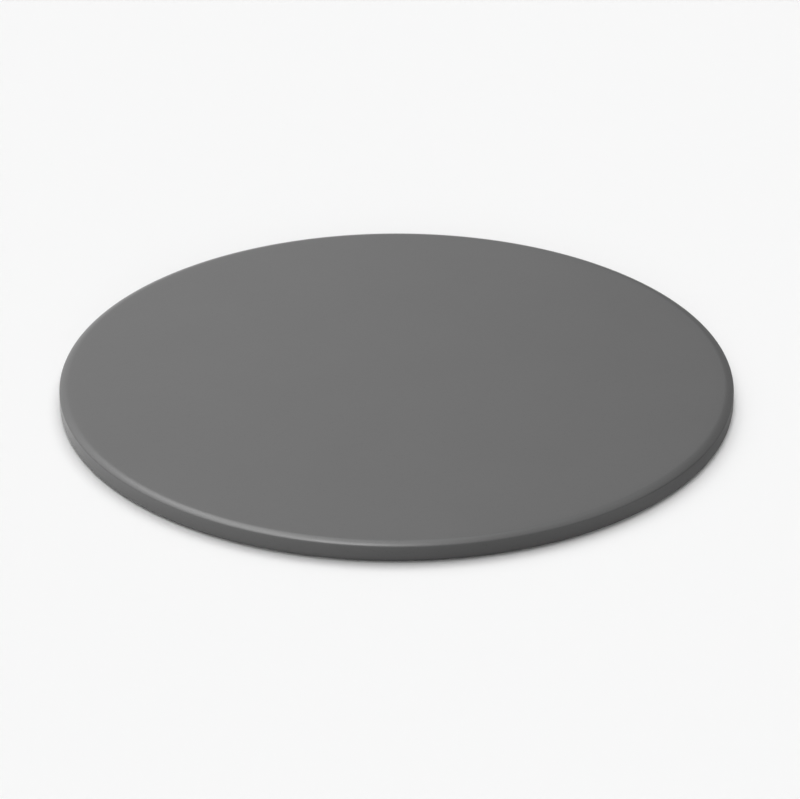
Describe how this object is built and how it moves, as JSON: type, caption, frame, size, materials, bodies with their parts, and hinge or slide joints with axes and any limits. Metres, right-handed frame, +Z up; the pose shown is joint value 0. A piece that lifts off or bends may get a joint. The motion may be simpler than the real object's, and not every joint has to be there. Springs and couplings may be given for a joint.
{
  "type": "pizza stone",
  "caption": "Round, flat pizza stone of fired ceramic: grey satin glaze over the top and the rounded rim, bare beneath, where it stands on a low foot ring.",
  "frame": {"origin": "middle of the base, in the plane that the foot ring stands on", "axes": "+Z up through the middle of the stone, out of the baking surface; the stone is round, so +X and +Y are any two square directions in the base plane"},
  "size_m": [0.36, 0.36, 0.011],
  "materials": {
    "bare_ceramic": "pressed and fired cordierite, matt, lightly speckled and open-pored",
    "grey_glaze": "dark grey satin glaze, very faint orange peel"
  },
  "bodies": {
    "root": {"stone_body": "bare_ceramic", "glaze_coat": "grey_glaze"}
  },
  "joints": []
}
